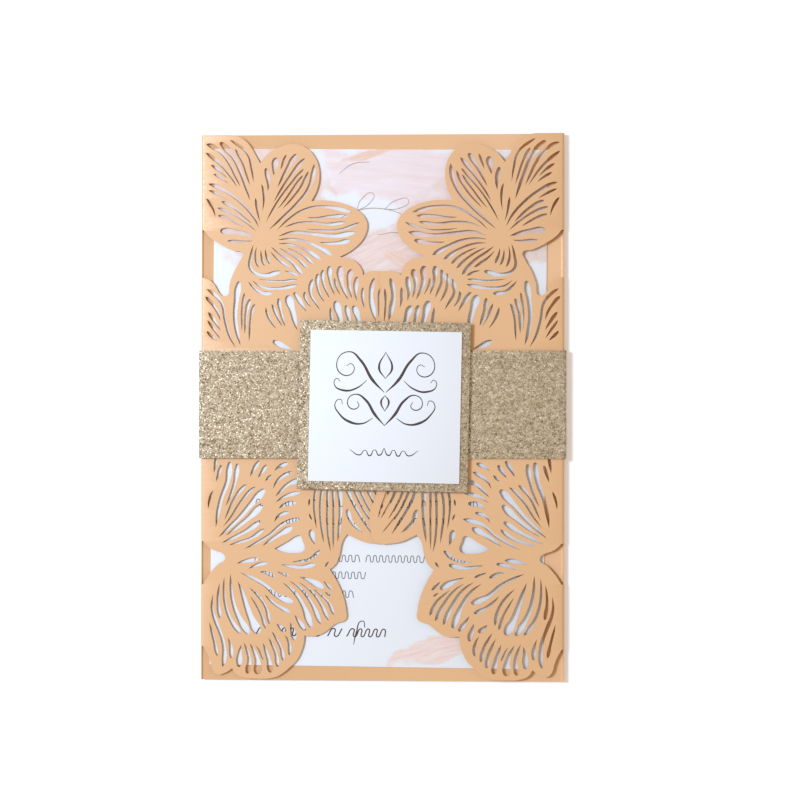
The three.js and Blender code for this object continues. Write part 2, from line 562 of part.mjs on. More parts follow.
root.add(piece(
  'tag_mat',
  sheetOf(MAT_WIDTH, MAT_HEIGHT, MAT_CARD, MAT_SHIFT_X, MAT_SHIFT_Y, MAT_Z, MAT_TURN),
  GLITTER,
));

const tagTapeWidth = TAG_WIDTH - 2 * TAPE_MARGIN;
const tagTapeY = TAG_HEIGHT / 2 - TAPE_MARGIN - TAPE_WIDTH / 2;
root.add(piece(
  'tag_tape_upper',
  sheetOf(tagTapeWidth, TAPE_WIDTH, TAPE, TAG_SHIFT_X, TAG_SHIFT_Y + tagTapeY, TAG_TAPE_Z),
  TAPE_LOOK,
));
root.add(piece(
  'tag_tape_lower',
  sheetOf(tagTapeWidth, TAPE_WIDTH, TAPE, TAG_SHIFT_X, TAG_SHIFT_Y - tagTapeY, TAG_TAPE_Z),
  TAPE_LOOK,
));

root.add(piece(
  'tag_card',
  sheetOf(TAG_WIDTH, TAG_HEIGHT, TAG_CARD, TAG_SHIFT_X, TAG_SHIFT_Y, TAG_Z, TAG_TURN),
  WHITE_CARD,
));

export default root;
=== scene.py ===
# %% [markdown]
# # A gatefold wedding invitation
# The invitation is a sleeve cut and folded from one sheet of pearl gold card. Its two gates are lace,
# cut by a laser, and a printed card lies inside. A band of glitter card is slid round the closed
# sleeve, and carries a square tag on a mat. The imported model gives every piece its size and its place,
# so the first step is to load it as a fixed frame.

# %% Load the fixed frame
import math

import bmesh
import bpy
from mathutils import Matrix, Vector


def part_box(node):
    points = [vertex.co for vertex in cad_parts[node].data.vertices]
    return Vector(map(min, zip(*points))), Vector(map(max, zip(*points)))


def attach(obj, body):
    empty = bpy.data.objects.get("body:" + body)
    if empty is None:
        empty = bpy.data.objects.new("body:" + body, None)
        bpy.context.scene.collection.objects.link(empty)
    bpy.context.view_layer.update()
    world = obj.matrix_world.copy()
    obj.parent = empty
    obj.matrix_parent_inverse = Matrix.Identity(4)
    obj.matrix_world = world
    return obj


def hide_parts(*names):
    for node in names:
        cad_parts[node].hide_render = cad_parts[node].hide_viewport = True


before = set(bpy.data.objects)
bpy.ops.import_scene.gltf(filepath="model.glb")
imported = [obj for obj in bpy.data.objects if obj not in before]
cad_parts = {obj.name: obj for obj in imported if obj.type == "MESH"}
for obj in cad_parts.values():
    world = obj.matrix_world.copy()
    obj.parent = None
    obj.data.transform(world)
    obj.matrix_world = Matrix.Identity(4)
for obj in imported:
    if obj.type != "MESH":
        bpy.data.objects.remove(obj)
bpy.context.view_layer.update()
print("pieces in the frame:", sorted(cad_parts))

# %% [markdown]
# Every later step needs the same few hand movements: to have one piece selected and active, to take a
# clean copy of a piece of the frame, and to apply a modifier. The frame's meshes are loose triangles,
# so a copy is merged first, and its flat sides are then dissolved into single faces.

# %% Hand movements
MM = 0.001
MERGE = 0.0005 * MM
SMOOTH_BELOW = math.radians(30)


def only(piece):
    """Selects this piece and nothing else."""
    bpy.ops.object.select_all(action="DESELECT")
    piece.select_set(True)
    bpy.context.view_layer.objects.active = piece


def clean_copy(node, name):
    """A merged copy of a piece of the frame, with its flat sides as single faces."""
    piece = bpy.data.objects.new(name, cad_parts[node].data.copy())
    bpy.context.scene.collection.objects.link(piece)
    piece.data.materials.clear()
    only(piece)
    bpy.ops.object.mode_set(mode="EDIT")
    bpy.ops.mesh.select_all(action="SELECT")
    bpy.ops.mesh.remove_doubles(threshold=0.001 * MM)
    bpy.ops.mesh.dissolve_limited(angle_limit=math.radians(1))
    bpy.ops.object.mode_set(mode="OBJECT")
    return piece


def apply_modifier(piece, kind, **settings):
    """Adds a modifier with these settings and applies it."""
    only(piece)
    modifier = piece.modifiers.new(kind.title(), kind)
    for setting, value in settings.items():
        setattr(modifier, setting, value)
    bpy.ops.object.modifier_apply(modifier=modifier.name)


# %% [markdown]
# A material is a small tree of nodes. One function adds a node with its settings and its links, and one
# turns a colour that is written as on a paint chart into the linear values that Blender works with.
# Sizes of patterns are written in millimetres: a noise or a cell pattern with features of a size needs
# a scale of one over that size.

# %% Colours and nodes
def srgb(code):
    """A hex colour as linear red, green and blue, with a full alpha."""
    parts = [int(code[i:i + 2], 16) / 255 for i in (1, 3, 5)]
    linear = [p / 12.92 if p <= 0.04045 else ((p + 0.055) / 1.055) ** 2.4 for p in parts]
    return (*linear, 1.0)


def new_material(name):
    """An empty material with its output and a Principled shader."""
    material = bpy.data.materials.new(name)
    material.use_nodes = True
    tree = material.node_tree
    tree.nodes.clear()
    output = tree.nodes.new("ShaderNodeOutputMaterial")
    shader = tree.nodes.new("ShaderNodeBsdfPrincipled")
    tree.links.new(shader.outputs[0], output.inputs[0])
    return material, tree, shader


def add_node(tree, kind, inputs=None, **settings):
    """Adds one node. An input that is given a socket is linked to it."""
    node = tree.nodes.new(kind)
    for setting, value in settings.items():
        setattr(node, setting, value)
    for socket, value in (inputs or {}).items():
        if isinstance(value, bpy.types.NodeSocket):
            tree.links.new(value, node.inputs[socket])
        else:
            node.inputs[socket].default_value = value
    return node


def per_mm(size):
    """The scale of a pattern whose features are this many millimetres."""
    return 1 / (size * MM)


# %% [markdown]
# The card is pearl-coated: a smooth paper stock printed with mica in a warm gold. The mica gives a
# satin sheen and a faint shimmer, and the fibres below it a very fine tooth. The laser burns through,
# which leaves the cut walls toasted brown. Their brown is made deeper than the scorch alone, as painted
# shade, so that each slit draws as a thin dark line of shade. So the walls get a finish of their own.

# %% Pearl-coated gold card and its laser-browned walls with painted shade
def pearl_coated_card():
    material, tree, shader = new_material("pearl_coated_gold_card")
    place = add_node(tree, "ShaderNodeTexCoord").outputs["Object"]
    drift = add_node(tree, "ShaderNodeTexNoise", {"Vector": place, "Scale": per_mm(45), "Detail": 2.0})
    mica = add_node(tree, "ShaderNodeTexNoise", {"Vector": place, "Scale": per_mm(0.7), "Detail": 4.0})
    fibre = add_node(tree, "ShaderNodeTexNoise", {"Vector": place, "Scale": per_mm(0.35), "Detail": 3.0})
    base = add_node(tree, "ShaderNodeMix", {
        0: drift.outputs["Fac"], 6: srgb("#E4B684"), 7: srgb("#ECBE8D"),
    }, data_type="RGBA")
    fleck = add_node(tree, "ShaderNodeMapRange", {
        "Value": mica.outputs["Fac"], 1: 0.3, 2: 0.7, 3: 0.0, 4: 0.22,
    })
    tone = add_node(tree, "ShaderNodeMix", {
        0: fleck.outputs[0], 6: base.outputs[2], 7: srgb("#D4A36D"),
    }, data_type="RGBA")
    sheen = add_node(tree, "ShaderNodeMapRange", {
        "Value": mica.outputs["Fac"], 1: 0.3, 2: 0.7, 3: 0.38, 4: 0.52,
    })
    tooth = add_node(tree, "ShaderNodeBump", {
        "Height": fibre.outputs["Fac"], "Strength": 0.35, "Distance": 0.03 * MM,
    })
    tree.links.new(tone.outputs[2], shader.inputs["Base Color"])
    tree.links.new(sheen.outputs[0], shader.inputs["Roughness"])
    tree.links.new(tooth.outputs[0], shader.inputs["Normal"])
    shader.inputs["Metallic"].default_value = 0.1
    shader.inputs["Specular IOR Level"].default_value = 0.9
    return material


def scorched_and_shaded_wall():
    material, tree, shader = new_material("laser_scorched_card_wall_with_painted_shade")
    place = add_node(tree, "ShaderNodeTexCoord").outputs["Object"]
    soot = add_node(tree, "ShaderNodeTexNoise", {"Vector": place, "Scale": per_mm(2.5), "Detail": 3.0})
    # The wall's brown is partly laser scorch and partly painted shade, which darkens each slit into a
    # thin shaded line.
    tone = add_node(tree, "ShaderNodeMix", {
        0: soot.outputs["Fac"], 6: srgb("#7E5428"), 7: srgb("#A87440"),
    }, data_type="RGBA")
    tree.links.new(tone.outputs[2], shader.inputs["Base Color"])
    shader.inputs["Roughness"].default_value = 0.8
    return material


pearl_card = pearl_coated_card()
scorched_and_shaded_walls = scorched_and_shaded_wall()
print("finishes:", pearl_card.name, scorched_and_shaded_walls.name)

# %% [markdown]
# ## The sleeve
# A real sleeve is one flat sheet: the laser cuts it, and it is folded afterwards. It is made the same
# way here. The outlines of the cuts are read from the flat top faces of the gates in the frame, laid
# out flat, and drawn again as smooth curves. A filled curve takes all the slits as holes at once, where
# cutting them one by one would take hundreds of booleans.

# %% Heights of the sheet
sleeve_low, sleeve_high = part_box("laser_cut_sleeve")
sleeve_solid = clean_copy("laser_cut_sleeve", "sleeve_outlines")
CARD = 0.3 * MM
LOOKS_UP = 0.999


def flat_levels(piece, count):
    """Heights of the largest faces that look straight up."""
    areas = {}
    for face in piece.data.polygons:
        if face.normal.z > LOOKS_UP:
            level = round(face.center.z, 5)
            areas[level] = areas.get(level, 0) + face.area
    return sorted(sorted(areas, key=areas.get)[-count:])


levels = flat_levels(sleeve_solid, 3)
back_top, left_top, right_top = levels
print("tops of the back, left gate and right gate in mm:", [round(z / MM, 2) for z in levels])

# %% Read the outlines of a gate
TOUCH = 0.01 * MM


def outlines_at(piece, level):
    """The closed outlines round the flat faces at this height."""
    shape = bmesh.new()
    shape.from_mesh(piece.data)
    flat = {
        f for f in shape.faces
        if f.normal.z > LOOKS_UP and abs(f.calc_center_median().z - level) < TOUCH
    }
    rim = [e for e in shape.edges if sum(f in flat for f in e.link_faces) == 1]
    following = {}
    for edge in rim:
        a, b = edge.verts
        following.setdefault(a.index, []).append(b.index)
        following.setdefault(b.index, []).append(a.index)
    places = {v.index: (v.co.x, v.co.y) for edge in rim for v in edge.verts}
    loops = []
    while following:
        start = next(iter(following))
        loop, here = [], start
        while here in following:
            loop.append(places[here])
            onward = [n for n in following.pop(here) if n in following]
            if not onward:
                break
            here = onward[0]
        loops.append(loop)
    shape.free()
    return loops


def area(loop):
    """Signed area inside a closed outline."""
    turned = loop[1:] + loop[:1]
    return sum(ax * by - bx * ay for (ax, ay), (bx, by) in zip(loop, turned)) / 2


gate_loops = {}
for side, level in ((-1, left_top), (1, right_top)):
    loops = sorted(outlines_at(sleeve_solid, level), key=lambda loop: -abs(area(loop)))
    gate_loops[side] = loops
    print("gate", side, "outline points:", len(loops[0]), "cuts:", len(loops) - 1)

# %% [markdown]
# To lay a gate out flat, its fold is unrolled. A fold is half a turn of a small radius, which follows
# from the height of the gate over the back. A cut that reaches the fold ends at the fold's outermost
# line.

# %% Unroll the folds
NEAR_FOLD = 0.06 * MM
back_mid = back_top - CARD / 2
half_width = sleeve_high.x
fold_radius = {-1: (left_top - CARD / 2 - back_mid) / 2, 1: (right_top - CARD / 2 - back_mid) / 2}
fold_x = {side: half_width - CARD / 2 - fold_radius[side] for side in (-1, 1)}
fold_line = {side: fold_x[side] + math.pi / 2 * fold_radius[side] for side in (-1, 1)}


def laid_flat(point, side):
    """Where a point of a folded gate lies on the flat sheet."""
    x, y = point
    return (side * (2 * fold_line[side] - side * x), y)


def runs_off_fold(loop, side):
    """The stretches of a gate's outline that leave the fold and come back to it."""
    on_fold = [abs(side * x - fold_x[side]) < NEAR_FOLD for x, y in loop]
    count = len(loop)
    start = next(i for i in range(count) if on_fold[i] and on_fold[i - 1])
    runs, run = [], []
    for step in range(count + 1):
        i = (start + step) % count
        if run and on_fold[i]:
            runs.append(run + [loop[i]])
            run = []
        elif not on_fold[i]:
            run = run or [loop[i - 1]]
            run.append(loop[i])
    return runs


sheet_side = {}
sheet_holes = []
for side, loops in gate_loops.items():
    runs = sorted(runs_off_fold(loops[0], side), key=len)
    for notch in runs[:-1]:
        flat = [laid_flat(p, side) for p in notch]
        outermost = side * fold_line[side]
        sheet_holes.append([(outermost, flat[0][1]), *flat, (outermost, flat[-1][1])])
    free_edge = [laid_flat(p, side) for p in runs[-1]]
    if free_edge[0][1] > free_edge[-1][1]:
        free_edge.reverse()
    sheet_side[side] = free_edge
    sheet_holes += [[laid_flat(p, side) for p in loop] for loop in loops[1:]]
    print("gate", side, "notches at the fold:", len(runs) - 1)

bottom = sleeve_low.y
sheet_outline = [
    (-fold_line[-1], bottom), (fold_line[1], bottom), (fold_line[1], sheet_side[1][0][1]), *sheet_side[1],
    *reversed(sheet_side[-1]), (-fold_line[-1], sheet_side[-1][0][1]),
]
print("holes in the flat sheet:", len(sheet_holes))

# %% [markdown]
# A smooth corner gets automatic handles, and a sharp one gets straight handles. The points of a slit
# where the laser turned back on itself and the clefts between two petals stay sharp. The straight edges
# of the sheet keep their straight handles too.

# %% Draw the sheet as curves and fill it
CLEFT = math.radians(70)
TIP = math.radians(128)
OUTLINE_STEPS = 8
SLIT_STEPS = 5
FOLD_MARGIN = 2 * MM


def turn_at(loop, i):
    """How far an outline turns at one of its points."""
    before, here, after = (Vector(loop[j % len(loop)]) for j in (i - 1, i, i + 1))
    return abs((here - before).angle_signed(after - here, 0))


def add_outline(curve, loop, sharp_turn, steps):
    """Adds one closed outline to a curve."""
    spline = curve.splines.new("BEZIER")
    spline.bezier_points.add(len(loop) - 1)
    spline.use_cyclic_u = True
    spline.resolution_u = steps
    for i, (knot, (x, y)) in enumerate(zip(spline.bezier_points, loop)):
        edge_of_sheet = abs(abs(y) - sleeve_high.y) < TOUCH
        at_fold = any(abs(abs(x) - fold_line[side]) < FOLD_MARGIN for side in (-1, 1))
        sharp = edge_of_sheet or at_fold or turn_at(loop, i) > sharp_turn
        knot.co = (x, y, 0)
        knot.handle_left_type = "VECTOR" if sharp else "AUTO"
        knot.handle_right_type = "VECTOR" if sharp else "AUTO"


drawing = bpy.data.curves.new("flat_sheet", "CURVE")
drawing.dimensions = "2D"
drawing.fill_mode = "BOTH"
add_outline(drawing, sheet_outline, CLEFT, OUTLINE_STEPS)
for hole in sheet_holes:
    add_outline(drawing, hole, TIP, SLIT_STEPS)
sheet = bpy.data.objects.new("lace_sleeve", drawing)
bpy.context.scene.collection.objects.link(sheet)
only(sheet)
bpy.ops.object.convert(target="MESH")
sheet = bpy.context.active_object
flat_size = (sheet.dimensions.x / MM, sheet.dimensions.y / MM)
print("flat sheet in mm:", [round(v, 1) for v in flat_size], "faces:", len(sheet.data.polygons))
bpy.data.objects.remove(sleeve_solid)

# %% [markdown]
# A fold needs edges to bend at, so the flat sheet is bisected along lines across both folds. It gets
# its thickness while it is still flat, by one straight extrusion. Solidify would move each point along
# its own normal, and where a filled curve leaves a sliver of no width that normal can point the wrong
# way. The walls of the cuts take the browned finish, which is laser scorch deepened as painted shade.
# Then each point is moved round the fold, as the sheet is folded on the bench.

# %% Fold the sheet
FOLD_STEPS = 8
SLIVER = 0.02 * MM
only(sheet)
bpy.ops.object.mode_set(mode="EDIT")
bpy.ops.mesh.select_all(action="SELECT")
bpy.ops.mesh.remove_doubles(threshold=MERGE)
for side in (-1, 1):
    for step in range(FOLD_STEPS + 1):
        crease = side * (fold_x[side] + math.pi * fold_radius[side] * step / FOLD_STEPS)
        bpy.ops.mesh.select_all(action="SELECT")
        bpy.ops.mesh.bisect(plane_co=(crease, 0, 0), plane_no=(1, 0, 0), threshold=MERGE)
bpy.ops.mesh.select_all(action="SELECT")
bpy.ops.mesh.dissolve_degenerate(threshold=SLIVER)
bpy.ops.mesh.extrude_region_move(TRANSFORM_OT_translate={"value": (0, 0, CARD)})
bpy.ops.object.mode_set(mode="OBJECT")

# A wall at the outermost line of a fold looks up after folding, and keeps the pearl coat.
# Every other wall takes the browned finish: laser scorch with painted shade.
sheet.data.materials.append(pearl_card)
sheet.data.materials.append(scorched_and_shaded_walls)
for face in sheet.data.polygons:
    at_fold = any(abs(abs(face.center.x) - fold_line[side]) < TOUCH for side in (-1, 1))
    if abs(face.normal.z) < 0.5 and not at_fold:
        face.material_index = 1


def folded(x, above):
    """Where a point of the flat sheet comes to after folding: its x and z."""
    side = 1 if x > 0 else -1
    reach, radius, bend = abs(x), fold_radius[side], fold_x[side]
    if reach <= bend:
        return x, back_mid + above
    if reach >= bend + math.pi * radius:
        return side * (2 * fold_line[side] - reach), back_mid + 2 * radius - above
    angle = (reach - bend) / radius
    from_axis = radius - above
    return side * (bend + from_axis * math.sin(angle)), back_mid + radius - from_axis * math.cos(angle)


for vertex in sheet.data.vertices:
    vertex.co.x, vertex.co.z = folded(vertex.co.x, vertex.co.z - CARD / 2)
sheet.data.update()
only(sheet)
bpy.ops.object.shade_smooth_by_angle(angle=SMOOTH_BELOW)
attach(sheet, "sleeve")
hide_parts("laser_cut_sleeve")
print("sleeve faces:", len(sheet.data.polygons))
print("sleeve size in mm:", [round(v / MM, 2) for v in sheet.dimensions])

# %% [markdown]
# ## Glitter card
# Glitter card is a paper coated with tiny metallised film flakes, each tilted its own way. Each flake
# is a cell of a Voronoi pattern with one colour and one tilt. The colours differ at random, and run from
# dark brown to near white as painted shade and painted glint on top of the flakes' own tone. Real flakes
# are about 0.2 mm across. Here they are drawn at 0.34 mm, the smallest that still shows as separate
# sparks from a step away.

# %% Champagne glitter
FLAKE = 0.34
PATCH = 0.8
FLAKE_TILT = 0.9


def champagne_glitter():
    material, tree, shader = new_material("champagne_glitter_film")
    place = add_node(tree, "ShaderNodeTexCoord").outputs["Object"]
    flake = add_node(tree, "ShaderNodeTexVoronoi", {"Vector": place, "Scale": per_mm(FLAKE)})
    speck = add_node(tree, "ShaderNodeTexVoronoi", {"Vector": place, "Scale": per_mm(PATCH)})
    chance = add_node(tree, "ShaderNodeSeparateColor", {0: flake.outputs["Color"]})
    patch = add_node(tree, "ShaderNodeSeparateColor", {0: speck.outputs["Color"]})
    blend = add_node(tree, "ShaderNodeMath", {0: patch.outputs[0], 1: 0.25}, operation="MULTIPLY")
    share = add_node(tree, "ShaderNodeMath", {
        0: chance.outputs[0], 1: 0.75, 2: blend.outputs[0],
    }, operation="MULTIPLY_ADD")
    flake_tone_and_glint = add_node(tree, "ShaderNodeValToRGB", {0: share.outputs[0]})
    # Flake colours: their own champagne tone, spread to dark brown and near white as painted shade and
    # painted glint.
    tone_and_glint_stops = [(0.0, "#63523F"), (0.22, "#958264"), (0.5, "#C4B292"), (0.78, "#E3D6BC"), (1.0, "#FFFCF2")]
    flake_tone_and_glint.color_ramp.elements[0].color = srgb(tone_and_glint_stops[0][1])
    flake_tone_and_glint.color_ramp.elements[1].color = srgb(tone_and_glint_stops[-1][1])
    for position, code in tone_and_glint_stops[1:-1]:
        flake_tone_and_glint.color_ramp.elements.new(position).color = srgb(code)
    upright = add_node(tree, "ShaderNodeNewGeometry").outputs["Normal"]
    random_way = add_node(tree, "ShaderNodeVectorMath", {
        0: flake.outputs["Color"], 1: (0.5, 0.5, 0.5),
    }, operation="SUBTRACT")
    tilt = add_node(tree, "ShaderNodeVectorMath", {
        0: random_way.outputs[0], 3: FLAKE_TILT,
    }, operation="SCALE")
    tilted = add_node(tree, "ShaderNodeVectorMath", {0: upright, 1: tilt.outputs[0]}, operation="ADD")
    facing = add_node(tree, "ShaderNodeVectorMath", {0: tilted.outputs[0]}, operation="NORMALIZE")
    tree.links.new(flake_tone_and_glint.outputs[0], shader.inputs["Base Color"])
    tree.links.new(facing.outputs[0], shader.inputs["Normal"])
    shader.inputs["Metallic"].default_value = 0.4
    shader.inputs["Roughness"].default_value = 0.4
    return material


glitter = champagne_glitter()
print("finish:", glitter.name)

# %% [markdown]
# ## Band, mat, tag and insert
# These are flat or simply folded cards. Their form in the frame is already the real one, so each is a
# merged copy of its piece with the edges eased by a hair, as a guillotine leaves them. That thin line
# of light along an edge is what makes a sheet of card look cut.

# %% Cards with eased edges
CARD_EASING = 0.05 * MM
MAT_EASING = 0.08 * MM


def eased_card(node, name, body, easing, finish):
    """A merged copy of a card with its edges eased."""
    piece = clean_copy(node, name)
    piece.data.materials.append(finish)
    apply_modifier(
        piece, "BEVEL", width=easing, segments=2, limit_method="ANGLE", angle_limit=math.radians(50),
    )
    only(piece)
    bpy.ops.object.shade_smooth_by_angle(angle=SMOOTH_BELOW)
    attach(piece, body)
    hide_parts(node)
    print(name, "faces:", len(piece.data.polygons))


eased_card("belly_band", "glitter_band", "band", CARD_EASING, glitter)
eased_card("tag_mat", "glitter_mat", "band", MAT_EASING, glitter)

# %% [markdown]
# The tag is smooth bright white card, a little cool. The insert is the same white, printed with soft
# blush washes at its head and a small one at its foot. The two wide beige washes under the flowers at
# the sides are partly that print and partly painted warm shade, where the gold lace shades the insert.
# A wash is a wide brush mark: an oval with a ragged edge, and streaks along the way the brush went.

# %% White card, the blush print and painted shade under the lace
def smooth_white_card():
    material, tree, shader = new_material("smooth_white_card")
    place = add_node(tree, "ShaderNodeTexCoord").outputs["Object"]
    fibre = add_node(tree, "ShaderNodeTexNoise", {"Vector": place, "Scale": per_mm(0.5), "Detail": 4.0})
    tone = add_node(tree, "ShaderNodeMix", {
        0: fibre.outputs["Fac"], 6: srgb("#EDF4FB"), 7: srgb("#F1F7FD"),
    }, data_type="RGBA")
    tooth = add_node(tree, "ShaderNodeBump", {
        "Height": fibre.outputs["Fac"], "Strength": 0.25, "Distance": 0.02 * MM,
    })
    tree.links.new(tone.outputs[2], shader.inputs["Base Color"])
    tree.links.new(tooth.outputs[0], shader.inputs["Normal"])
    shader.inputs["Roughness"].default_value = 0.6
    shader.inputs["Specular IOR Level"].default_value = 0.2
    return material


# Each wash: its middle and half its length and width in mm, its slant in degrees, and its palest and
# deepest colour.
PRINT_AND_SHADE_WASHES = [
    ((9, 79), (36, 11), -4, "#F2E9EE", "#EDDCDC"),
    ((30, 66), (24, 14), 15, "#F1E8EB", "#EBDAD9"),
    ((3, 52), (25, 9), 24, "#F1E4E0", "#E6CBC2"),
    # These two beige washes are partly blush print and partly painted warm shade under the lace.
    ((-40, 72), (25, 22), -50, "#EFE0D9", "#E0C8BA"),
    ((44, 66), (20, 30), 100, "#EFE0D9", "#E0CABE"),
    ((-5, 85.6), (9, 1.6), 14, "#F0D8CC", "#E8C4AE"),
    ((10, 48), (11, 3), -28, "#F0DCD2", "#E7C4B4"),
    ((21, -81), (17, 5), 16, "#F5E9E5", "#EDD2C9"),
]


def blush_print_and_shade_card():
    material, tree, shader = new_material("blush_printed_white_card_with_painted_shade")
    place = add_node(tree, "ShaderNodeTexCoord").outputs["Object"]
    ragged = add_node(tree, "ShaderNodeTexNoise", {"Vector": place, "Scale": per_mm(7), "Detail": 6.0})
    colour = srgb("#EDF3F9")
    for (x, y), (long, wide), slant, pale, deep in PRINT_AND_SHADE_WASHES:
        oval = add_node(tree, "ShaderNodeMapping", {
            "Vector": place, "Location": (x * MM, y * MM, 0), "Rotation": (0, 0, math.radians(slant)),
            "Scale": (long * MM, wide * MM, 1),
        }, vector_type="TEXTURE")
        away = add_node(tree, "ShaderNodeVectorMath", {0: oval.outputs[0]}, operation="LENGTH")
        edge = add_node(tree, "ShaderNodeMath", {
            0: ragged.outputs["Fac"], 1: 1.3, 2: away.outputs["Value"],
        }, operation="MULTIPLY_ADD")
        field = add_node(tree, "ShaderNodeMapRange", {
            "Value": edge.outputs[0], 1: 1.72, 2: 1.4, 3: 0.0, 4: 1.0,
        }, interpolation_type="SMOOTHSTEP")
        along = add_node(tree, "ShaderNodeMapping", {"Vector": oval.outputs[0], "Scale": (1.6, 5.0, 1)})
        streak = add_node(tree, "ShaderNodeTexNoise", {
            "Vector": along.outputs[0], "Scale": 1.0, "Detail": 6.0, "Roughness": 0.65,
        })
        depth = add_node(tree, "ShaderNodeMapRange", {"Value": streak.outputs["Fac"], 1: 0.36, 2: 0.66})
        tint = add_node(tree, "ShaderNodeMix", {
            0: depth.outputs[0], 6: srgb(pale), 7: srgb(deep),
        }, data_type="RGBA")
        layer = add_node(tree, "ShaderNodeMix", {
            0: field.outputs[0], 6: colour, 7: tint.outputs[2],
        }, data_type="RGBA")
        colour = layer.outputs[2]
    tree.links.new(colour, shader.inputs["Base Color"])
    shader.inputs["Roughness"].default_value = 0.6
    shader.inputs["Specular IOR Level"].default_value = 0.2
    return material


white_card = smooth_white_card()
print_and_shade_card = blush_print_and_shade_card()
eased_card("tag_card", "square_tag", "band", CARD_EASING, white_card)
eased_card("insert_card", "printed_insert", "sleeve", CARD_EASING, print_and_shade_card)

# %% [markdown]
# ## Ink
# The tag carries a plain pen ornament, and the insert carries waved strokes in place of lines of print.
# A pen line swells and thins, which a curve does with a radius at each point. It is turned to a mesh
# and pressed almost flat.

# %% Pen strokes
# How far the two cards lie turned, in degrees.
TAG_TURN = -1.05
INSERT_TURN = -0.5
INK_THICKNESS = 0.012 * MM
HAIR = 0.001 * MM


def printing_ink(name, code):
    material, tree, shader = new_material(name)
    place = add_node(tree, "ShaderNodeTexCoord").outputs["Object"]
    uneven = add_node(tree, "ShaderNodeTexNoise", {"Vector": place, "Scale": per_mm(1.5), "Detail": 2.0})
    tone = add_node(tree, "ShaderNodeHueSaturation", {"Color": srgb(code)})
    value = add_node(tree, "ShaderNodeMapRange", {"Value": uneven.outputs["Fac"], 3: 0.85, 4: 1.2})
    tree.links.new(value.outputs[0], tone.inputs["Value"])
    tree.links.new(tone.outputs[0], shader.inputs["Base Color"])
    shader.inputs["Roughness"].default_value = 0.5
    return material


def pen_strokes(name, strokes, node, turn, body, ink):
    """Flat ink lines on the top of a card. A stroke is a list of (x, y, width) in mm from its middle."""
    low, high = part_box(node)
    curve = bpy.data.curves.new(name, "CURVE")
    curve.dimensions = "3D"
    curve.bevel_depth = 1.0
    curve.bevel_resolution = 1
    curve.use_fill_caps = True
    for stroke in strokes:
        spline = curve.splines.new("BEZIER")
        spline.bezier_points.add(len(stroke) - 1)
        spline.resolution_u = 8 if len(stroke) > 2 else 1
        for knot, (x, y, width) in zip(spline.bezier_points, stroke):
            knot.co = (x * MM, y * MM, 0)
            knot.radius = width * MM / 2
            knot.handle_left_type = "AUTO"
            knot.handle_right_type = "AUTO"
    piece = bpy.data.objects.new(name, curve)
    bpy.context.scene.collection.objects.link(piece)
    only(piece)
    bpy.ops.object.convert(target="MESH")
    piece = bpy.context.active_object
    middle = (low + high) / 2
    angle = math.radians(turn)
    for vertex in piece.data.vertices:
        x, y = vertex.co.x, vertex.co.y
        vertex.co.x = middle.x + x * math.cos(angle) - y * math.sin(angle)
        vertex.co.y = middle.y + x * math.sin(angle) + y * math.cos(angle)
        vertex.co.z = high.z + (INK_THICKNESS if vertex.co.z > HAIR else 0.0)
    piece.data.update()
    piece.data.materials.append(ink)
    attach(piece, body)
    print(name, "strokes:", len(strokes), "faces:", len(piece.data.polygons))


brown_ink = printing_ink("dark_brown_ink", "#463531")
grey_ink = printing_ink("soft_grey_ink", "#747276")
sepia_ink = printing_ink("pale_sepia_ink", "#B7A9A4")

# %% [markdown]
# The ornament is a tall pair of scrolls, a lower pair that runs out into tails, and a thin waved line
# at the foot. Only the right half is drawn. The left half is its mirror image, so that the two sides
# match.

# %% The ornament on the tag
RIGHT_HALF = [
    [(0.3, 4.8, 0.2), (4.4, 9.0, 1.0), (8.4, 15.4, 0.8), (12.4, 18.3, 0.35), (16.4, 15.0, 0.3),
     (14.6, 10.6, 0.4), (10.9, 11.4, 0.3), (11.4, 14.2, 0.25), (13.2, 13.6, 0.2)],
    [(0.0, 9.4, 0.15), (2.2, 13.0, 0.75), (0.0, 18.4, 0.15)],
    [(6.2, 8.8, 0.15), (9.4, 6.2, 0.5), (13.8, 5.2, 0.7), (17.2, 7.2, 0.3), (16.4, 9.2, 0.25),
     (15.2, 8.2, 0.2)],
    [(0.0, -6.4, 0.2), (3.4, -2.6, 0.95), (6.4, 2.0, 0.8), (10.0, 4.0, 0.35), (12.6, 1.8, 0.3),
     (11.2, -0.9, 0.4), (8.8, 0.0, 0.3), (9.4, 1.7, 0.2)],
    [(4.0, -3.9, 0.2), (7.4, -5.8, 0.5), (11.6, -5.4, 0.85), (15.4, -2.6, 0.5), (16.8, 0.8, 0.3),
     (15.0, 2.2, 0.25), (14.3, 0.5, 0.2)],
    [(0.0, 3.8, 0.15), (1.3, 1.6, 0.7), (0.0, -1.6, 0.15)],
    [(0.0, -14.0, 0.2), (1.6, -16.4, 0.45), (3.2, -14.6, 0.2), (4.8, -16.6, 0.45), (6.4, -14.8, 0.2),
     (8.2, -16.4, 0.4), (11.6, -14.6, 0.15)],
]
tag_strokes = RIGHT_HALF + [[(-x, y, width) for x, y, width in stroke] for stroke in RIGHT_HALF]
pen_strokes("tag_ornament", tag_strokes, "tag_card", TAG_TURN, "band", brown_ink)

# %% [markdown]
# A row of print is a few waved strokes of different lengths, which is how small print looks from a step
# away. The last row is wider and leans a little. Thin stems with leaves lie over the washes at the
# head.

# %% The print on the insert
def waved_stroke(x, y, length, tall, step, slant, width):
    """A stroke that goes up and down along a line."""
    count = max(2, round(length / step))
    return [
        (x + length * i / count + (slant if i % 2 else 0), y + (tall / 2 if i % 2 else -tall / 2), width)
        for i in range(count + 1)
    ]


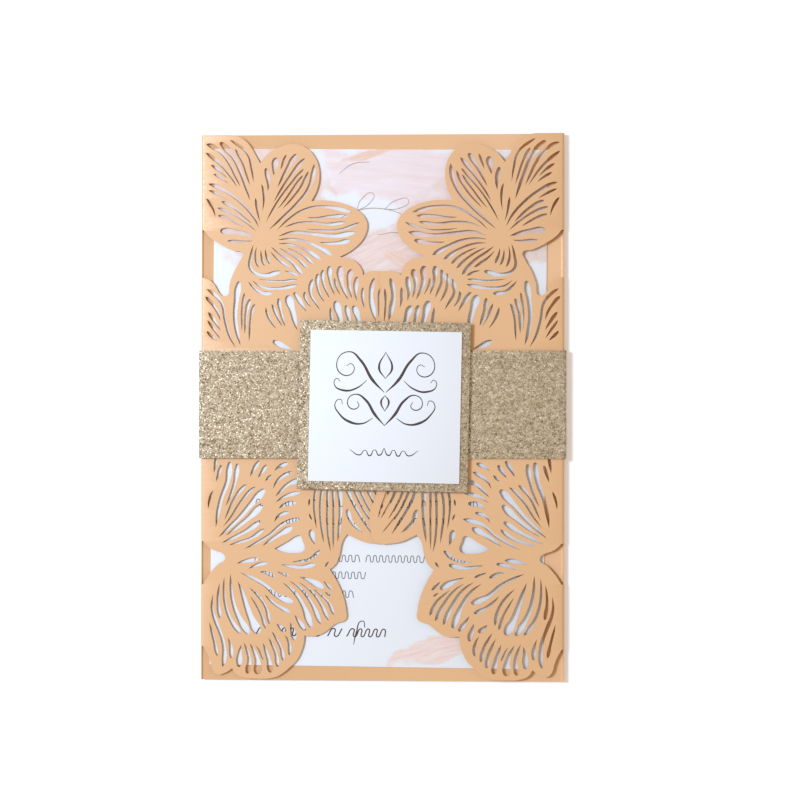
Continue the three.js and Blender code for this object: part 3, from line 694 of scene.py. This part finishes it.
# Each row: its height from the insert's middle, where it starts, and the lengths of its strokes, in mm.
ROWS = [
    (24.4, -34, [8, 12, 9, 11, 14]),
    (-21.5, -34, [12, 9, 20, 11]),
    (-32.5, -41.5, [13, 6, 14, 7, 16, 10]),
    (-38.4, -41.5, [5, 14, 9, 18, 12]),
    (-51.1, -41.5, [9, 12, 11, 20, 12]),
    (-56.8, -41.5, [11, 9, 14]),
    (-63.2, -41.5, [14, 5, 11]),
]
STROKE_GAP = 1.9
caps = []
for y, x, lengths in ROWS:
    for length in lengths:
        caps.append(waved_stroke(x, y, length, 2.3, 1.05, 0, 0.3))
        x += length + STROKE_GAP
pen_strokes("insert_caps", caps, "insert_card", INSERT_TURN, "sleeve", grey_ink)

script = [
    waved_stroke(x, -76.2, length, 2.6, 1.3, 1.0, 0.42)
    for x, length in ((-41, 22), (-16.5, 4), (-10, 13))
]
script.append([(-7.6, -80.2, 0.2), (-6.8, -76.6, 0.5), (-4.6, -72.2, 0.3), (-3.8, -74.4, 0.3)])
pen_strokes("insert_script", script, "insert_card", INSERT_TURN, "sleeve", brown_ink)

STEMS = [
    [(-16.5, 62.4, 0.2), (-8.0, 66.8, 0.35), (1.5, 67.4, 0.3), (12.0, 63.8, 0.2)],
    [(-8.0, 66.8, 0.2), (-6.5, 70.6, 0.3), (-2.4, 72.6, 0.2), (-4.0, 69.0, 0.3), (-8.0, 66.8, 0.2)],
    [(1.5, 67.4, 0.2), (5.0, 70.2, 0.3), (9.6, 70.4, 0.2), (6.2, 67.6, 0.3), (1.5, 67.4, 0.2)],
    [(-1.0, 58.6, 0.2), (6.0, 59.4, 0.3), (12.4, 57.2, 0.2)],
    [(-14.0, 79.4, 0.2), (-9.6, 82.6, 0.3), (-3.6, 83.4, 0.2)],
]
pen_strokes("insert_stems", STEMS, "insert_card", INSERT_TURN, "sleeve", sepia_ink)

# %% [markdown]
# ## Tape and foam
# Double-sided tape holds the band's lap and the tag, and two strips of white foam lift the mat off the
# band. Only their edges can be seen. They stay as they are in the frame, and get their real finishes.

# %% Tape and foam
def tape_film():
    material, tree, shader = new_material("double_sided_tape")
    place = add_node(tree, "ShaderNodeTexCoord").outputs["Object"]
    cloud = add_node(tree, "ShaderNodeTexNoise", {"Vector": place, "Scale": per_mm(4), "Detail": 2.0})
    tone = add_node(tree, "ShaderNodeMix", {
        0: cloud.outputs["Fac"], 6: srgb("#E2DED2"), 7: srgb("#EFECE3"),
    }, data_type="RGBA")
    tree.links.new(tone.outputs[2], shader.inputs["Base Color"])
    shader.inputs["Roughness"].default_value = 0.35
    return material


def white_foam():
    material, tree, shader = new_material("white_foam_tape")
    place = add_node(tree, "ShaderNodeTexCoord").outputs["Object"]
    cells = add_node(tree, "ShaderNodeTexVoronoi", {"Vector": place, "Scale": per_mm(0.3)})
    tone = add_node(tree, "ShaderNodeMix", {
        0: cells.outputs["Distance"], 6: srgb("#F6F6F2"), 7: srgb("#D9D9D3"),
    }, data_type="RGBA")
    pores = add_node(tree, "ShaderNodeBump", {
        "Height": cells.outputs["Distance"], "Strength": 0.6, "Distance": 0.08 * MM,
    })
    tree.links.new(tone.outputs[2], shader.inputs["Base Color"])
    tree.links.new(pores.outputs[0], shader.inputs["Normal"])
    shader.inputs["Roughness"].default_value = 0.9
    return material


hidden_finishes = {
    tape_film(): ["band_seam_tape", "tag_tape_upper", "tag_tape_lower"],
    white_foam(): ["mat_foam_pad_left", "mat_foam_pad_right"],
}
for finish, names in hidden_finishes.items():
    for name in names:
        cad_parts[name].data.materials.clear()
        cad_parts[name].data.materials.append(finish)
    print(finish.name, "on", names)

# %% [markdown]
# ## Floor, light and camera
# The invitation lies on a plain white table. One small, slightly cool lamp stands high at the left, and
# a pale warm surround fills the shadows. Together they light a level card at about the brightness at
# which its colour comes out as it is written.

# %% Floor
bpy.ops.object.select_all(action="DESELECT")
bpy.ops.mesh.primitive_plane_add(size=6, location=(0, 0, -0.02 * MM))
table_top = bpy.context.active_object
table_top.name = "table_top"
white_table, tree, shader = new_material("white_table_top")
shader.inputs["Base Color"].default_value = srgb("#F4F4F4")
shader.inputs["Roughness"].default_value = 0.8
glow = add_node(tree, "ShaderNodeEmission", {"Color": srgb("#FFFFFF"), "Strength": 0.22})
seen = add_node(tree, "ShaderNodeLightPath")
nothing = add_node(tree, "ShaderNodeEmission", {"Strength": 0.0})
for_camera = add_node(tree, "ShaderNodeMixShader", {
    0: seen.outputs["Is Camera Ray"], 1: nothing.outputs[0], 2: glow.outputs[0],
})
both = add_node(tree, "ShaderNodeAddShader", {0: shader.outputs[0], 1: for_camera.outputs[0]})
output = next(node for node in tree.nodes if node.type == "OUTPUT_MATERIAL")
tree.links.new(both.outputs[0], output.inputs[0])
table_top.data.materials.append(white_table)
print("table top:", [round(v, 2) for v in table_top.dimensions])

# %% Light
world = bpy.data.worlds.new("pale_surround")
bpy.context.scene.world = world
world.use_nodes = True
surround = world.node_tree.nodes["Background"]
surround.inputs["Color"].default_value = srgb("#FFE9D2")
surround.inputs["Strength"].default_value = 0.58


def softbox(name, place, aim, size, power, code):
    """A square area lamp that points at a place, in metres."""
    lamp = bpy.data.lights.new(name, "AREA")
    lamp.shape = "SQUARE"
    lamp.size = size
    lamp.energy = power
    lamp.color = srgb(code)[:3]
    holder = bpy.data.objects.new(name, lamp)
    bpy.context.scene.collection.objects.link(holder)
    holder.location = place
    holder.rotation_euler = (Vector(aim) - Vector(place)).to_track_quat("-Z", "Y").to_euler()


softbox("key_softbox", (-0.66, 0.22, 0.95), (0, 0, 0), 0.26, 11.6, "#D2E6FF")

# %% [markdown]
# The camera hangs about 60 cm over the invitation and a little to its right, square to it within a few
# degrees, which is how the corners of the sleeve are spread in the picture.

# %% Camera
SENSOR_WIDTH = 36
FOCAL_LENGTH = 79.59
HANGS_AT = (29.93 * MM, -1.32 * MM, 600 * MM)
TILT = (math.radians(0.365), math.radians(2.284), math.radians(0.053))
lens = bpy.data.cameras.new("overhead_camera")
lens.sensor_width = SENSOR_WIDTH
lens.lens = FOCAL_LENGTH
camera = bpy.data.objects.new("overhead_camera", lens)
bpy.context.scene.collection.objects.link(camera)
camera.location = HANGS_AT
camera.rotation_euler = TILT
bpy.context.scene.camera = camera
bpy.context.scene.view_settings.view_transform = "Standard"
print("camera at", [round(v, 3) for v in camera.location])
